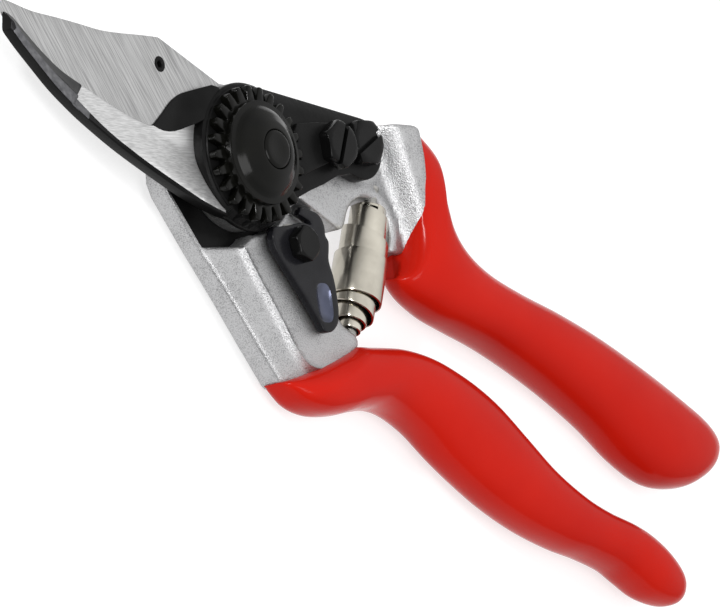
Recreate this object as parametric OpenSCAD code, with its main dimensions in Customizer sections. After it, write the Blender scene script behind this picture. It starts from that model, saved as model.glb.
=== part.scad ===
// Bypass pruning shears, shut and latched.  Two forged aluminium handles in dipped vinyl
// grips, a cutting blade on one and a hooked counter blade on the other, a toothed crown
// nut on the pivot bolt, a thumb catch and a volute spring between the handles.
// X runs from the blade tip to the handle ends, Y towards the counter blade's handle and
// Z out of the face with the crown nut.  The origin is on the pivot axis, in the flat outer
// face of the bolt head, which is the plane that the shears rest on.

/* [Overall] */
// Pivot axis to the tip of the cutting blade
blade_reach = 65.5; // [56:0.5:80]
// Pivot axis to the end of the handles
handle_reach = 132; // [112:1:160]
// Half thickness of a grip at the palm
grip_half_t = 6.9; // [5.8:0.1:8.4]
// Height of the underside of the grips over the rest plane
grip_lift = 0.3; // [0.1:0.1:1]

/* [Stack on the pivot] */
// Thickness of the pivot bolt's head
bolt_head_t = 1.5; // [1:0.1:2.4]
// Height of the round boss behind the lower handle
boss_t = 1; // [0.8:0.1:2]
// Aluminium left behind the blade
web_t = 2.4; // [1.8:0.1:3.5]
// Thickness of the cutting blade
blade_t = 3; // [2.4:0.1:3.6]
// Thickness of the counter blade
hook_t = 2.7; // [2.2:0.1:3.4]
// Gap between faces that slide on each other
slide_gap = 0.1; // [0.05:0.01:0.2]
// Radial running clearance of the pivots
run_gap = 0.05; // [0.02:0.01:0.09]

/* [Pivot] */
// Radius of the pivot bolt's shank
bolt_r = 3.4; // [2.8:0.1:4]
// Radius of the pivot bolt's head
bolt_head_r = 6.6; // [5:0.1:7]
// Wall of the bush between the bolt and the blade
bush_wall = 1.5; // [1:0.1:1.8]
// Radius of the counter blade's eye
eye_r = 13.1; // [12.9:0.1:13.6]
// Tip radius of the crown nut's teeth
crown_r = 12.2; // [11.6:0.1:12.3]
// Root radius of the crown nut's teeth
crown_root_r = 9.6; // [9:0.1:10.4]
// Number of teeth on the crown nut
crown_teeth = 24; // [20:1:28]
// Width of the gap between two teeth
tooth_gap = 1.2; // [0.9:0.1:1.4]
// Thickness of the toothed flange
flange_t = 0.9; // [0.6:0.1:1.4]
// Height of the cylindrical step under the dome
collar_t = 2.1; // [1.4:0.1:3]
// Height of the dome
dome_t = 2.7; // [2:0.1:3.4]
// How far the bolt's end stands out of the dome
bolt_end = 0.3; // [0.1:0.1:0.8]

/* [Fasteners] */
// Radius of the two tang bolts' shanks
tang_bolt_r = 2.5; // [2:0.1:2.8]
// Corner radius of the tang bolts' hexagon heads
tang_head_r = 4.4; // [4:0.1:4.6]
// Height of the tang bolts' heads
tang_head_t = 2.3; // [1.8:0.1:3]
// Width of the screwdriver slots
slot_w = 0.9; // [0.6:0.1:1.2]
// Corner radius of the nuts behind the tang
tang_nut_r = 4; // [3.6:0.1:4.2]
// Thickness of the nuts behind the tang
tang_nut_t = 2.6; // [2:0.1:3]
// Radius of the dowel and the screw that hold the blade
blade_pin_r = 1.5; // [1.2:0.1:1.8]
// Distance of the dowel and the screw from the pivot axis
blade_pin_at = 9.3; // [8.8:0.1:9.8]

/* [Catch] */
// Thickness of the thumb catch
catch_t = 1.6; // [1.2:0.1:2]
// Height of the raised pad under the catch over the blade's face
pad_rise = 0.8; // [0.5:0.1:1]
// Thickness of the washer under the catch
catch_washer_t = 0.5; // [0.4:0.1:0.8]
// Radius of the shoulder that the catch turns on
catch_pin_r = 2.5; // [2:0.1:2.9]
// Corner radius of the catch screw's hexagon head
catch_head_r = 3.3; // [3:0.1:3.7]
// Height of the catch screw's head
catch_head_t = 2.2; // [1.6:0.1:2.6]

/* [Spring] */
// Radius of the spring's widest turn
spring_r = 5; // [4.4:0.1:5.4]
// Radius of the slot in the upper handle that the spring sits in
pocket_r = 6; // [5.8:0.1:6.2]
// Radius of the two pins that the spring is threaded on
seat_pin_r = 1.2; // [0.9:0.1:1.3]
// Clearance between the spring and its pins and seats
spring_gap = 0.3; // [0.25:0.05:0.4]

/* [Grips] */
// Share of a grip's width that the aluminium core takes
core_share = 0.5; // [0.4:0.01:0.55]
// Half thickness of the core inside a grip
core_half_t = 3.8; // [3:0.1:4.2]
// Clearance between a core and its grip
grip_gap = 0.05; // [0.03:0.01:0.1]

/* [Hidden] */
$fn = 64;
e = 0.01;
far = 200;

// Heights of the stack, from the rest plane up.
z_boss = bolt_head_t + slide_gap;
z_back = z_boss + boss_t;
z_blade = z_back + web_t;
z_front = z_blade + blade_t;
z_hook = z_front + slide_gap;
z_eye = z_hook + hook_t;
z_flange = z_eye + flange_t;
z_collar = z_flange + collar_t;
z_dome = z_collar + dome_t;
z_top = z_dome + bolt_end;
z_grip = grip_lift + grip_half_t;

// Lower handle levels: the rim beside the blade, and the pad that carries the catch.
rim_drop = 0.3;
z_rim = z_front - rim_drop;
z_pad = z_front + pad_rise;
z_catch = z_pad + catch_washer_t;
z_catch_top = z_catch + catch_t;

// The eye is thinned where the catch's nose swings past it.
nose_gap = 0.3;
z_nose_floor = z_catch - nose_gap;
nose_r = 12.2;
nose_from = -100;
nose_to = -12;

// Radii round the pivot.
bush_r = bolt_r + run_gap + bush_wall;
snug = 0.01;
blade_eye_r = eye_r - 0.5;
head_r = eye_r + 0.9;
recess_r = eye_r + 0.5;
upper_cut_r = head_r + 2.3;
boss_r = blade_pin_at + blade_pin_r + 1.4;

// Places of the fasteners.
segment_bolt_at = [18.5, 12.4];
tang_bolt_at = [25.7, 17.1];
catch_at = [16, -9.2];
z_catch_foot = z_back + 1.1;
buffer_at = 20;
buffer_r = 1.8;
buffer_depth = 3;
buffer_out = 4;
nut_turn = 15;
nut_gap = 0.1;
pin_cover = 0.6;
screw_head_r = blade_pin_r + 1.1;
screw_head_t = z_back + 0.4 - z_boss;
blade_screw_turn = -100;
blade_dowel_turn = 20;

// The spring's axis runs from the upper handle's slot to the lower handle's edge.
spring_top = [34.8, 10.1];
spring_foot = [36.4, -15.1];
upper_edge_y = 1.5;
lower_edge_y = spring_foot[1] - spring_gap;
pocket_at = [35, 5];
top_seat_depth = 3.8;
foot_seat_depth = 1.4;
seat_len = 8;

// Lengths that the outlines below are drawn to.
drawn_blade = 65.5;
drawn_handle = 132;
blade_root_x = -22;
palm_x = 60;

function to_tip(x) = x > blade_root_x ? x
    : blade_root_x + (x - blade_root_x) * (blade_reach + blade_root_x) / (drawn_blade + blade_root_x);
function to_end(x) = x < palm_x ? x
    : palm_x + (x - palm_x) * (handle_reach - palm_x) / (drawn_handle - palm_x);
function tipwards(points) = [for (p = points) [to_tip(p[0]), p[1]]];

// A smooth open curve through points of any length, with n steps from one to the next.
function between(a, b, c, d, t) =
    0.5 * (2 * b + (c - a) * t + (2 * a - 5 * b + 4 * c - d) * t * t
        + (3 * b - a - 3 * c + d) * t * t * t);
function smooth(p, n = 3) = concat(
    [for (i = [0:len(p) - 2], k = [0:n - 1])
        between(p[max(i - 1, 0)], p[i], p[i + 1], p[min(i + 2, len(p) - 1)], k / n)],
    [p[len(p) - 1]]);
function arc(r, from, to, centre = [0, 0], n = 12) =
    [for (i = [0:n]) centre + r * [cos(from + (to - from) * i / n), sin(from + (to - from) * i / n)]];
function polar(r, a) = r * [cos(a), sin(a)];

// Ribs of the grips, from the head to the end of the handle: a point on the upper edge,
// a point on the lower edge and the half thickness as a share of the palm's.
upper_ribs = [
    [40.5, 27.6, 43, 0.6, 0.8], [44.5, 26.4, 46, -0.4, 0.9], [47.4, 21.4, 49, -0.9, 0.95],
    [51, 16.6, 52.5, -0.9, 0.97], [56, 13.7, 57, -0.6, 0.98], [63, 12.7, 63, 0.4, 0.98],
    [72, 13.6, 72, 1.8, 0.98], [82, 15.4, 82, 2.5, 1], [92, 16.8, 92, 2.5, 1],
    [102, 17.6, 102, 1.8, 1], [111, 18, 111, 0.3, 1], [118.5, 18, 119, 0.5, 0.98],
    [125, 17.8, 125.5, 3.4, 0.88], [129.3, 17, 129.5, 7.2, 0.68], [131.4, 15.6, 131.4, 10.6, 0.42],
    [132, 14, 132, 12.6, 0.12]];
lower_ribs = [
    [38, -17, 22.5, -33.5, 0.8], [39.6, -16.2, 26.4, -34.9, 0.86], [41.6, -15.1, 31.2, -34.3, 0.9],
    [44, -13.8, 36, -31.9, 0.92], [47, -12.3, 41, -28.2, 0.94], [50.5, -11, 46, -25.1, 0.94],
    [54.5, -9.9, 51.5, -23.5, 0.95], [59, -9.1, 58.5, -23.5, 0.96], [66, -8.5, 66, -25, 0.96],
    [73, -8.9, 73, -25.8, 0.96], [81, -10.6, 81, -26.1, 0.95], [90, -12.5, 90, -25.5, 0.91],
    [99, -13, 99, -23.9, 0.86], [106, -12.4, 106, -22, 0.83], [113, -11, 113, -20.6, 0.83],
    [118, -10.6, 118, -20.6, 0.84], [123, -11, 123, -20.7, 0.8], [127.5, -12, 127.5, -19.7, 0.64],
    [130, -13.3, 130, -18.3, 0.42], [131, -14.8, 131, -16.8, 0.12]];

function stretch(ribs) = [for (r = ribs) [to_end(r[0]), r[1], to_end(r[2]), r[3], r[4]]];
function edge_a(r) = [r[0], r[1]];
function edge_b(r) = [r[2], r[3]];
function middle(r) = (edge_a(r) + edge_b(r)) / 2;
function signed_pow(v, p) = sign(v) * pow(abs(v), p);

// A grip's skin: rounded sections set up on the ribs and joined into one closed surface.
sides = 20;
roundness = 0.88;
module grip_skin(ribs) {
    rows = smooth(stretch(ribs), 2);
    n = len(rows);
    points = [for (r = rows, k = [0:sides - 1])
        let (a = 360 * (k + 0.5) / sides, m = middle(r),
            p = m + (edge_a(r) - m) * signed_pow(cos(a), roundness))
        [p[0], p[1], z_grip + grip_half_t * r[4] * signed_pow(sin(a), roundness)]];
    walls = [for (i = [0:n - 2], k = [0:sides - 1])
        let (a = i * sides + k, b = i * sides + (k + 1) % sides)
        each [[a, b, b + sides], [a, b + sides, a + sides]]];
    polyhedron(points, concat(walls, [[for (k = [sides - 1:-1:0]) k]],
        [[for (k = [0:sides - 1]) (n - 1) * sides + k]]), convexity = 6);
}

// The bar of aluminium inside a grip, as a flat outline, grown by a clearance.
core_ribs_left_out = 4;
stem_overrun = 2.5;
module core_outline(ribs, grow) {
    rows = smooth([for (i = [0:len(ribs) - 1 - core_ribs_left_out]) stretch(ribs)[i]], 2);
    last = len(rows) - 1;
    function rim(r, s) = let (m = middle(r), v = edge_a(r) - m)
        m + s * v * core_share + s * v / norm(v) * grow;
    function mouth(s) = let (lead = rim(rows[0], s) - rim(rows[1], s))
        rim(rows[0], s) + stem_overrun * lead / norm(lead);
    nose = [grow, 0];
    polygon(concat([mouth(1)], [for (i = [1:last]) rim(rows[i], 1)],
        [rim(rows[last], 1) + nose, rim(rows[last], -1) + nose],
        [for (i = [0:last - 1]) rim(rows[last - i], -1)], [mouth(-1)]));
}
module core_bar(ribs, grow = 0) {
    translate([0, 0, z_grip - core_half_t - grow])
        linear_extrude(2 * (core_half_t + grow)) core_outline(ribs, grow);
}
module grip(ribs) {
    color([0.82, 0.1, 0.08]) difference() {
        grip_skin(ribs);
        core_bar(ribs, grip_gap);
    }
}
module upper_grip() grip(upper_ribs);
module lower_grip() grip(lower_ribs);

// Outlines of the flat parts.
tang_end_r = 5.8;
tang_end_at = [26, 16.6];
throat = [[-12.6, 7.4], [-16, 4.6], [-18.2, 2.6], [-20, 0], [-21.4, -3.2], [-23, -6.5]];
inner_edge = [[-23, -6.5], [-25, -7.4], [-30, -8.2], [-35, -8.6], [-41, -8.9], [-48, -8.5],
    [-55, -8], [-60, -7.3], [-63.2, -6.9], [-64.6, -7.4]];
outer_edge = [[-64.4, -9.4], [-60, -11.2], [-55, -13], [-50, -14.5], [-45, -15.4], [-40, -16],
    [-32, -16.3], [-24, -16.1], [-15, -15.6], [-10, -15], [-5, -14.2], [-1, -13.2]];
module counter_outline() {
    polygon(concat(smooth(tipwards(outer_edge)), arc(eye_r, -92, -6),
        [[16, 2], [19, 5], [22, 8.5], [25, 10.6]], arc(tang_end_r, -72, 98, tang_end_at),
        arc(eye_r, 108, 144), smooth(throat), smooth(tipwards(inner_edge))));
}
cutting_edge = [[-65.5, -6], [-65.2, -7.2], [-63, -8.4], [-58, -9.8], [-52, -10.8], [-45, -11.4],
    [-38, -11.5], [-31, -11.1], [-25, -10.3], [-19, -9], [-13, -8]];
spine = [[-9, 10.2], [-26, 9.9], [-30, 8], [-35, 5.5], [-40, 3.2], [-45, 1.5], [-51, -0.6],
    [-57.5, -3], [-62.5, -4.2], [-64.7, -4.8]];
module blade_outline() {
    polygon(concat(smooth(tipwards(cutting_edge)), arc(blade_eye_r, -135, 125, n = 30),
        tipwards(spine)));
}

flank = [[-17.3, -11], [-16.4, -13.4], [-14.3, -15.3], [-3.8, -20.6], [5.4, -24.9], [13.5, -29],
    [21.7, -33]];
ridge = [[4.2, -16.2], [9.2, -18.9], [14.2, -21.6], [19.2, -24.6], [22.8, -26.7], [26.2, -27.5],
    [28.4, -26.6]];
inner_side = [[33, lower_edge_y], [30, -14.2], [28.4, -11], [26, -6.4], [23.5, -3.4], [17, -2.8]];
grip_line_gap = 0.3;
function rib_line(ribs, s) = let (r = ribs[0], v = edge_a(r) - edge_b(r))
    middle(r) + s * v / 2 + grip_line_gap * [v[1], -v[0]] / norm(v) * -1;
module lower_outline() {
    polygon(concat(flank, [rib_line(lower_ribs, -1), rib_line(lower_ribs, 1)],
        [[37.2, lower_edge_y]], inner_side, arc(head_r, -10, 205, n = 24)));
}
module lower_recess() {
    circle(recess_r);
    polygon([[-22, 0], [-22, -11.5], [-16.3, -11.5], [-13.6, -14.5], [-3.4, -19.7], [2.4, -15.6],
        [3, -12], [0, 0]]);
    rotate(90) translate([0, -far / 2]) square([far, far / 2]);
    translate([-far, 0]) square([far + 12, far]);
}
module pad_outline() {
    difference() {
        polygon(concat(smooth(ridge), [[36, -18.6], [36.6, lower_edge_y]], inner_side,
            arc(head_r, -10, -66)));
        circle(head_r - e);
    }
}

upper_side = [[9, 16.2], [16, 18.9], [25, 21.9], [31, 23.6], [38.4, 26.8]];
module upper_outline() {
    a = rib_line(upper_ribs, 1);
    b = rib_line(upper_ribs, -1);
    corner = a + (b - a) * 0.82;
    difference() {
        polygon(concat(upper_side, [a, corner, [pocket_at[0] + pocket_r, corner[1]],
            [pocket_at[0] + pocket_r, upper_edge_y], [16.3, upper_edge_y]],
            arc(upper_cut_r, 6, 60)));
        hull() {
            translate(pocket_at) circle(pocket_r);
            translate([pocket_at[0], -2 * pocket_r]) circle(pocket_r);
        }
    }
}

// Cutting side.
module cutting_blade() {
    hole_at = [to_tip(-24.2), 5.4];
    hole_r = 1.2;
    pin_depth = blade_t - pin_cover;
    color([0.75, 0.76, 0.78]) translate([0, 0, z_blade]) difference() {
        linear_extrude(blade_t) blade_outline();
        translate([0, 0, -e]) cylinder(r = bush_r + run_gap, h = far);
        translate([hole_at[0], hole_at[1], -e]) cylinder(r = hole_r, h = far);
        for (turn = [blade_screw_turn, blade_dowel_turn]) rotate(turn)
            translate([blade_pin_at, 0, -e]) cylinder(r = blade_pin_r + snug, h = pin_depth + 0.1);
    }
}
module lower_handle_core() {
    color([0.72, 0.73, 0.74]) difference() {
        union() {
            translate([0, 0, z_back]) linear_extrude(web_t) lower_outline();
            translate([0, 0, z_blade - e]) linear_extrude(z_rim - z_blade + e) difference() {
                lower_outline();
                lower_recess();
            }
            translate([0, 0, z_rim - e]) linear_extrude(z_pad - z_rim + e) pad_outline();
            translate([0, 0, z_boss]) cylinder(r = boss_r, h = boss_t + e);
            core_bar(lower_ribs);
        }
        cylinder(r = bush_r + snug, h = far);
        for (turn = [blade_screw_turn, blade_dowel_turn]) rotate(turn)
            translate([blade_pin_at, 0, 0]) cylinder(r = blade_pin_r + snug, h = far);
        rotate(blade_screw_turn) translate([blade_pin_at, 0, 0])
            cylinder(r = screw_head_r + snug, h = z_boss + screw_head_t);
        translate([catch_at[0], catch_at[1], z_catch_foot])
            cylinder(r = catch_pin_r + snug, h = far);
        spring_frame() translate([0, 0, -foot_seat_depth - snug])
            cylinder(r = seat_pin_r + snug, h = seat_len);
    }
}
module pivot_bush() {
    color([0.78, 0.62, 0.3]) translate([0, 0, z_boss]) difference() {
        cylinder(r = bush_r, h = z_front - z_boss);
        translate([0, 0, -e]) cylinder(r = bolt_r + run_gap, h = far);
    }
}
module blade_screw() {
    color("dimgray") rotate(blade_screw_turn) translate([blade_pin_at, 0, z_boss]) difference() {
        union() {
            cylinder(r = blade_pin_r, h = z_front - z_boss - pin_cover);
            cylinder(r = screw_head_r, h = screw_head_t);
        }
        translate([-far / 2, -slot_w / 2, -e]) cube([far, slot_w, 0.6]);
    }
}
module blade_dowel() {
    color("gray") rotate(blade_dowel_turn) translate([blade_pin_at, 0, z_boss])
        cylinder(r = blade_pin_r, h = z_front - z_boss - pin_cover);
}

// Counter side.
module counter_blade() {
    land_t = 0.7;
    bevel_from = blade_root_x - 2;
    bevel_foot = [-8, z_hook + land_t];
    bevel_top = [-14.4, z_eye];
    color([0.13, 0.13, 0.14]) difference() {
        translate([0, 0, z_hook]) linear_extrude(hook_t) counter_outline();
        translate([0, 0, z_hook - e]) cylinder(r = bolt_r + run_gap, h = far);
        // The bevel rises from the inner edge to the rim, out as far as the tip.
        translate([bevel_from, 0, 0]) rotate([90, 0, -90])
            linear_extrude(far) polygon([[bevel_foot[0], bevel_foot[1]],
                [0, bevel_foot[1]], [0, far], [bevel_top[0], far], [bevel_top[0], bevel_top[1]]]);
        translate([0, 0, z_nose_floor]) difference() {
            linear_extrude(far) polygon(concat([[0, 0]], arc(far, nose_from, nose_to, n = 24)));
            translate([0, 0, -e]) cylinder(r = nose_r, h = far);
        }
        for (at = [segment_bolt_at, tang_bolt_at])
            translate([at[0], at[1], z_hook - e]) cylinder(r = tang_bolt_r + snug, h = far);
    }
}
shoulder_slope_x = 33.5;
shoulder_x = 38.5;
shoulder_rise = 4.4;
module upper_handle_core() {
    color([0.72, 0.73, 0.74]) difference() {
        union() {
            translate([0, 0, z_back]) linear_extrude(z_front - z_back) upper_outline();
            intersection() {
                translate([0, 0, z_front - 1]) linear_extrude(far) upper_outline();
                translate([0, far / 2, 0]) rotate([90, 0, 0]) linear_extrude(far)
                    polygon([[shoulder_slope_x, z_front - 2], [shoulder_slope_x, z_front],
                        [shoulder_x, z_front + shoulder_rise], [50, z_front + shoulder_rise],
                        [50, z_front - 2]]);
            }
            core_bar(upper_ribs);
        }
        for (at = [segment_bolt_at, tang_bolt_at]) translate([at[0], at[1], 0]) {
            cylinder(r = tang_bolt_r + snug, h = far);
            translate([0, 0, z_back - e]) rotate(nut_turn)
                cylinder(r = tang_nut_r + nut_gap, h = tang_nut_t + e, $fn = 6);
        }
        translate([buffer_at, upper_edge_y - e, (z_back + z_front) / 2]) rotate([-90, 0, 0])
            cylinder(r = buffer_r + snug, h = buffer_depth + 2 * e);
        spring_frame() translate([0, 0, spring_len() + top_seat_depth - seat_len + snug])
            cylinder(r = seat_pin_r + snug, h = seat_len);
    }
}
module pivot_bolt() {
    color([0.15, 0.15, 0.16]) {
        difference() {
            cylinder(r = bolt_head_r, h = bolt_head_t);
            for (s = [-1, 1]) translate([-far / 2, s * (bolt_head_r - 0.8) - (s < 0 ? far : 0), -e])
                cube([far, far, far]);
        }
        translate([0, 0, bolt_head_t - e]) cylinder(r = bolt_r, h = z_top - bolt_head_t + e);
    }
}
module crown_nut() {
    dome_r = crown_root_r - 0.3;
    flat_r = bolt_r + 0.9;
    color([0.12, 0.12, 0.13]) difference() {
        union() {
            translate([0, 0, z_eye]) difference() {
                cylinder(r = crown_r, h = flange_t);
                for (i = [0:crown_teeth - 1]) rotate((i + 0.5) * 360 / crown_teeth)
                    translate([crown_root_r, -tooth_gap / 2, -e]) cube([far, tooth_gap, far]);
            }
            translate([0, 0, z_flange - e]) rotate_extrude() polygon([[0, 0], [dome_r, 0],
                [dome_r, collar_t], [dome_r - 1.2, collar_t + 0.9], [dome_r - 3, collar_t + 1.9],
                [flat_r, collar_t + dome_t], [0, collar_t + dome_t]]);
        }
        translate([0, 0, z_eye - e]) cylinder(r = bolt_r + run_gap, h = far);
    }
}
module lock_segment() {
    turn_step = 360 / crown_teeth;
    inner_r = crown_r + 0.25;
    color([0.12, 0.12, 0.13]) translate([0, 0, z_eye]) difference() {
        union() {
            linear_extrude(flange_t) difference() {
                union() {
                    polygon(concat(arc(inner_r + 1.6, 12, 52), [[17.5, 15.8]], [[20.6, 10.8]]));
                    translate(segment_bolt_at) circle(tang_head_r - 0.6);
                }
                circle(inner_r);
            }
            for (i = [1:2]) rotate((i + 0.5) * turn_step)
                translate([crown_root_r + 1, -tooth_gap / 2 + 0.15, 0])
                    cube([3.6, tooth_gap - 0.3, flange_t]);
        }
        translate([segment_bolt_at[0], segment_bolt_at[1], -e])
            cylinder(r = tang_bolt_r + snug, h = far);
    }
}
module slotted_bolt(at, under_head, turn) {
    color([0.14, 0.14, 0.15]) translate([at[0], at[1], 0]) difference() {
        union() {
            translate([0, 0, z_back + 0.1]) cylinder(r = tang_bolt_r, h = under_head - z_back);
            translate([0, 0, under_head]) rotate(turn)
                cylinder(r = tang_head_r, h = tang_head_t, $fn = 6);
        }
        translate([0, 0, under_head + tang_head_t - 1]) rotate(turn + 90)
            translate([-far / 2, -slot_w / 2, 0]) cube([far, slot_w, far]);
    }
}
module segment_bolt() slotted_bolt(segment_bolt_at, z_flange, 2);
module tang_bolt() slotted_bolt(tang_bolt_at, z_eye, -33);
module tang_nuts() {
    color("dimgray") for (at = [segment_bolt_at, tang_bolt_at])
        translate([at[0], at[1], z_back]) rotate(nut_turn) difference() {
            cylinder(r = tang_nut_r, h = tang_nut_t, $fn = 6);
            translate([0, 0, -e]) cylinder(r = tang_bolt_r + snug, h = far);
        }
}
module stop_buffer() {
    color([0.1, 0.1, 0.1])
        translate([buffer_at, upper_edge_y - buffer_out, (z_back + z_front) / 2])
            rotate([-90, 0, 0]) cylinder(r = buffer_r, h = buffer_out + buffer_depth);
}

// Catch.
catch_edge = [[8.7, -9.6], [9.1, -11.6], [10.4, -13.2], [14, -15], [20, -17.6], [25, -20.1],
    [26.4, -20.9], [28.1, -20.1], [29.1, -18.6], [29.3, -16.9], [28.5, -14.4], [26.2, -10.5],
    [24, -8], [23.4, -6], [22.9, -4.6], [21.8, -3.9], [21.3, -2.8], [20.4, -1.8], [19, -1.2],
    [17.4, -1.4], [14.3, -2.4]];
catch_slot = [[14.3, -3.9], [15.6, -3.9], [17.6, -3.9], [15.6, -4.8], [13.8, -6.1], [11.4, -7.9]];
module thumb_catch() {
    color([0.14, 0.14, 0.16]) translate([0, 0, z_catch]) difference() {
        linear_extrude(catch_t) polygon(concat(smooth(catch_edge, 2), catch_slot));
        translate([catch_at[0], catch_at[1], -e]) cylinder(r = catch_pin_r + run_gap, h = far);
    }
}
module catch_screw() {
    color([0.14, 0.14, 0.15]) translate([catch_at[0], catch_at[1], 0]) {
        translate([0, 0, z_catch_foot])
            cylinder(r = catch_pin_r, h = z_catch_top + slide_gap - z_catch_foot + e);
        translate([0, 0, z_catch_top + slide_gap]) rotate(8)
            cylinder(r = catch_head_r, h = catch_head_t, $fn = 6);
    }
}
module catch_washer() {
    color([0.3, 0.3, 0.3]) translate([catch_at[0], catch_at[1], z_pad]) difference() {
        cylinder(r = catch_pin_r + 1.6, h = catch_washer_t - slide_gap / 2);
        translate([0, 0, -e]) cylinder(r = catch_pin_r + snug, h = far);
    }
}

// Spring, drawn upright from its foot and laid along its own axis.
function spring_len() = norm(spring_top - spring_foot);
module spring_frame() {
    run = spring_top - spring_foot;
    translate([spring_foot[0], spring_foot[1], z_grip]) rotate([0, 0, atan2(run[1], run[0])])
        rotate([0, 90, 0]) children();
}
module volute_spring() {
    bore_r = seat_pin_r + spring_gap;
    length = spring_len();
    turns = [[0, 1.9], [1.6, 2.7], [3, 3.8], [7.1, spring_r], [15.1, 4.4], [19, 3.4], [24, 2.6]];
    steps = concat([[bore_r, 0]],
        [for (i = [0:len(turns) - 1]) each [[turns[i][1], turns[i][0]],
            [turns[i][1], i == len(turns) - 1 ? length : turns[i + 1][0]]]],
        [[bore_r, length]]);
    color([0.7, 0.68, 0.64]) spring_frame() rotate_extrude() polygon(steps);
}
module upper_spring_seat() {
    color([0.6, 0.6, 0.6]) spring_frame() translate([0, 0, spring_len() + top_seat_depth - seat_len])
        cylinder(r = seat_pin_r, h = seat_len);
}
module lower_spring_seat() {
    color([0.6, 0.6, 0.6]) spring_frame() translate([0, 0, -foot_seat_depth])
        cylinder(r = seat_pin_r, h = seat_len);
}

cutting_blade();
lower_handle_core();
lower_grip();
pivot_bush();
blade_screw();
blade_dowel();
catch_screw();
catch_washer();
lower_spring_seat();
thumb_catch();
counter_blade();
upper_handle_core();
upper_grip();
pivot_bolt();
crown_nut();
lock_segment();
segment_bolt();
tang_bolt();
tang_nuts();
stop_buffer();
upper_spring_seat();
volute_spring();
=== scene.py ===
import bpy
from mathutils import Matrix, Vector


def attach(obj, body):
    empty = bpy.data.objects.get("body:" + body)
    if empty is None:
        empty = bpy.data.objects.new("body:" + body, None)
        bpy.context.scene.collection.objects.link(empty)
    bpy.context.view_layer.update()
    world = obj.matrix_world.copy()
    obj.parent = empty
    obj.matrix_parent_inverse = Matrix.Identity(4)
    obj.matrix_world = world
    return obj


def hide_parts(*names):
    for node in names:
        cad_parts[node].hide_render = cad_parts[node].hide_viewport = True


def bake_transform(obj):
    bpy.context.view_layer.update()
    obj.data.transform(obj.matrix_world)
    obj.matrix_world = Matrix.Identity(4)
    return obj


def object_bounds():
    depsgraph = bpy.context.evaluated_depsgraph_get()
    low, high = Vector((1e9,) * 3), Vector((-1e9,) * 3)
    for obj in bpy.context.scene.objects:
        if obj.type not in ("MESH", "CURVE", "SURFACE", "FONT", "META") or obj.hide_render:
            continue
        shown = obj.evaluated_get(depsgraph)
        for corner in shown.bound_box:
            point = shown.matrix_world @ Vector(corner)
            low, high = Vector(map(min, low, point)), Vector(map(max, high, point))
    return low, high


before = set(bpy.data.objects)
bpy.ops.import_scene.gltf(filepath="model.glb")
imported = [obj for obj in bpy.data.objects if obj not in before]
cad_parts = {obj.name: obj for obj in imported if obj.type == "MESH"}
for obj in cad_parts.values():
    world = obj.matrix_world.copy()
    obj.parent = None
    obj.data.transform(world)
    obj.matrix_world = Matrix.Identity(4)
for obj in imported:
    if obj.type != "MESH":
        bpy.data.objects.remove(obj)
cad_box = [[float(c) for c in corner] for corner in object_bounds()]

import math

import bmesh
import bpy
import numpy as np
from mathutils import Matrix, Vector
from mathutils.geometry import delaunay_2d_cdt

# ---------------------------------------------------------------- bench and studio
# The shears lie on a plain pale bench, on the head of their pivot bolt, in a white tent that
# glows most overhead.  A broad soft box hangs above the blades and a small one past their tips.
MM = 0.001
middle = Vector((37.33, -8.88, 7.38)) * MM
seen_from = Vector((-0.6232, -0.4904, 0.6092)).normalized()
up_hint = Vector((-0.4845, 0.8536, 0.1915))
seen_right = up_hint.cross(seen_from).normalized()
seen_up = seen_from.cross(seen_right)
camera_reach = 4.2
seen_width = 126.0 * MM

camera_data = bpy.data.cameras.new("camera")
camera_data.sensor_width = 36.0
camera_data.lens = camera_data.sensor_width * camera_reach / seen_width
camera_data.clip_end = 20.0
camera = bpy.data.objects.new("camera", camera_data)
bpy.context.scene.collection.objects.link(camera)
axes = Matrix((seen_right, seen_up, seen_from)).transposed()
camera.matrix_world = Matrix.Translation(middle + camera_reach * seen_from) @ axes.to_4x4()
bpy.context.scene.camera = camera
bpy.context.scene.view_settings.view_transform = "Standard"


def soft_box(name, direction, reach, width, height, watts):
    """A rectangular lamp that faces the shears from a direction."""
    lamp = bpy.data.lights.new(name, "AREA")
    lamp.shape = "RECTANGLE"
    lamp.size = width
    lamp.size_y = height
    lamp.energy = watts
    box = bpy.data.objects.new(name, lamp)
    bpy.context.scene.collection.objects.link(box)
    toward = Vector(direction).normalized()
    box.location = middle + reach * toward
    box.rotation_euler = toward.to_track_quat("Z", "Y").to_euler()


soft_box("overhead_box", (-0.28, -0.44, 0.84), 0.9, 0.5, 0.36, 3.4)
soft_box("tip_box", (-0.90, -0.10, 0.42), 0.7, 0.07, 0.05, 2.4)


def finish(name, colour, metal, rough, **sockets):
    """A material with its plain values on the shader's own sockets."""
    made = bpy.data.materials.new(name)
    made.use_nodes = True
    shader = made.node_tree.nodes["Principled BSDF"]
    shader.inputs["Base Color"].default_value = (*colour, 1)
    shader.inputs["Metallic"].default_value = metal
    shader.inputs["Roughness"].default_value = rough
    for socket, value in sockets.items():
        shader.inputs[socket.replace("_", " ")].default_value = value
    return made, made.node_tree, shader


def node(tree, kind, **settings):
    """A node with its settings."""
    made = tree.nodes.new(kind)
    for setting, value in settings.items():
        setattr(made, setting, value)
    return made


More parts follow.
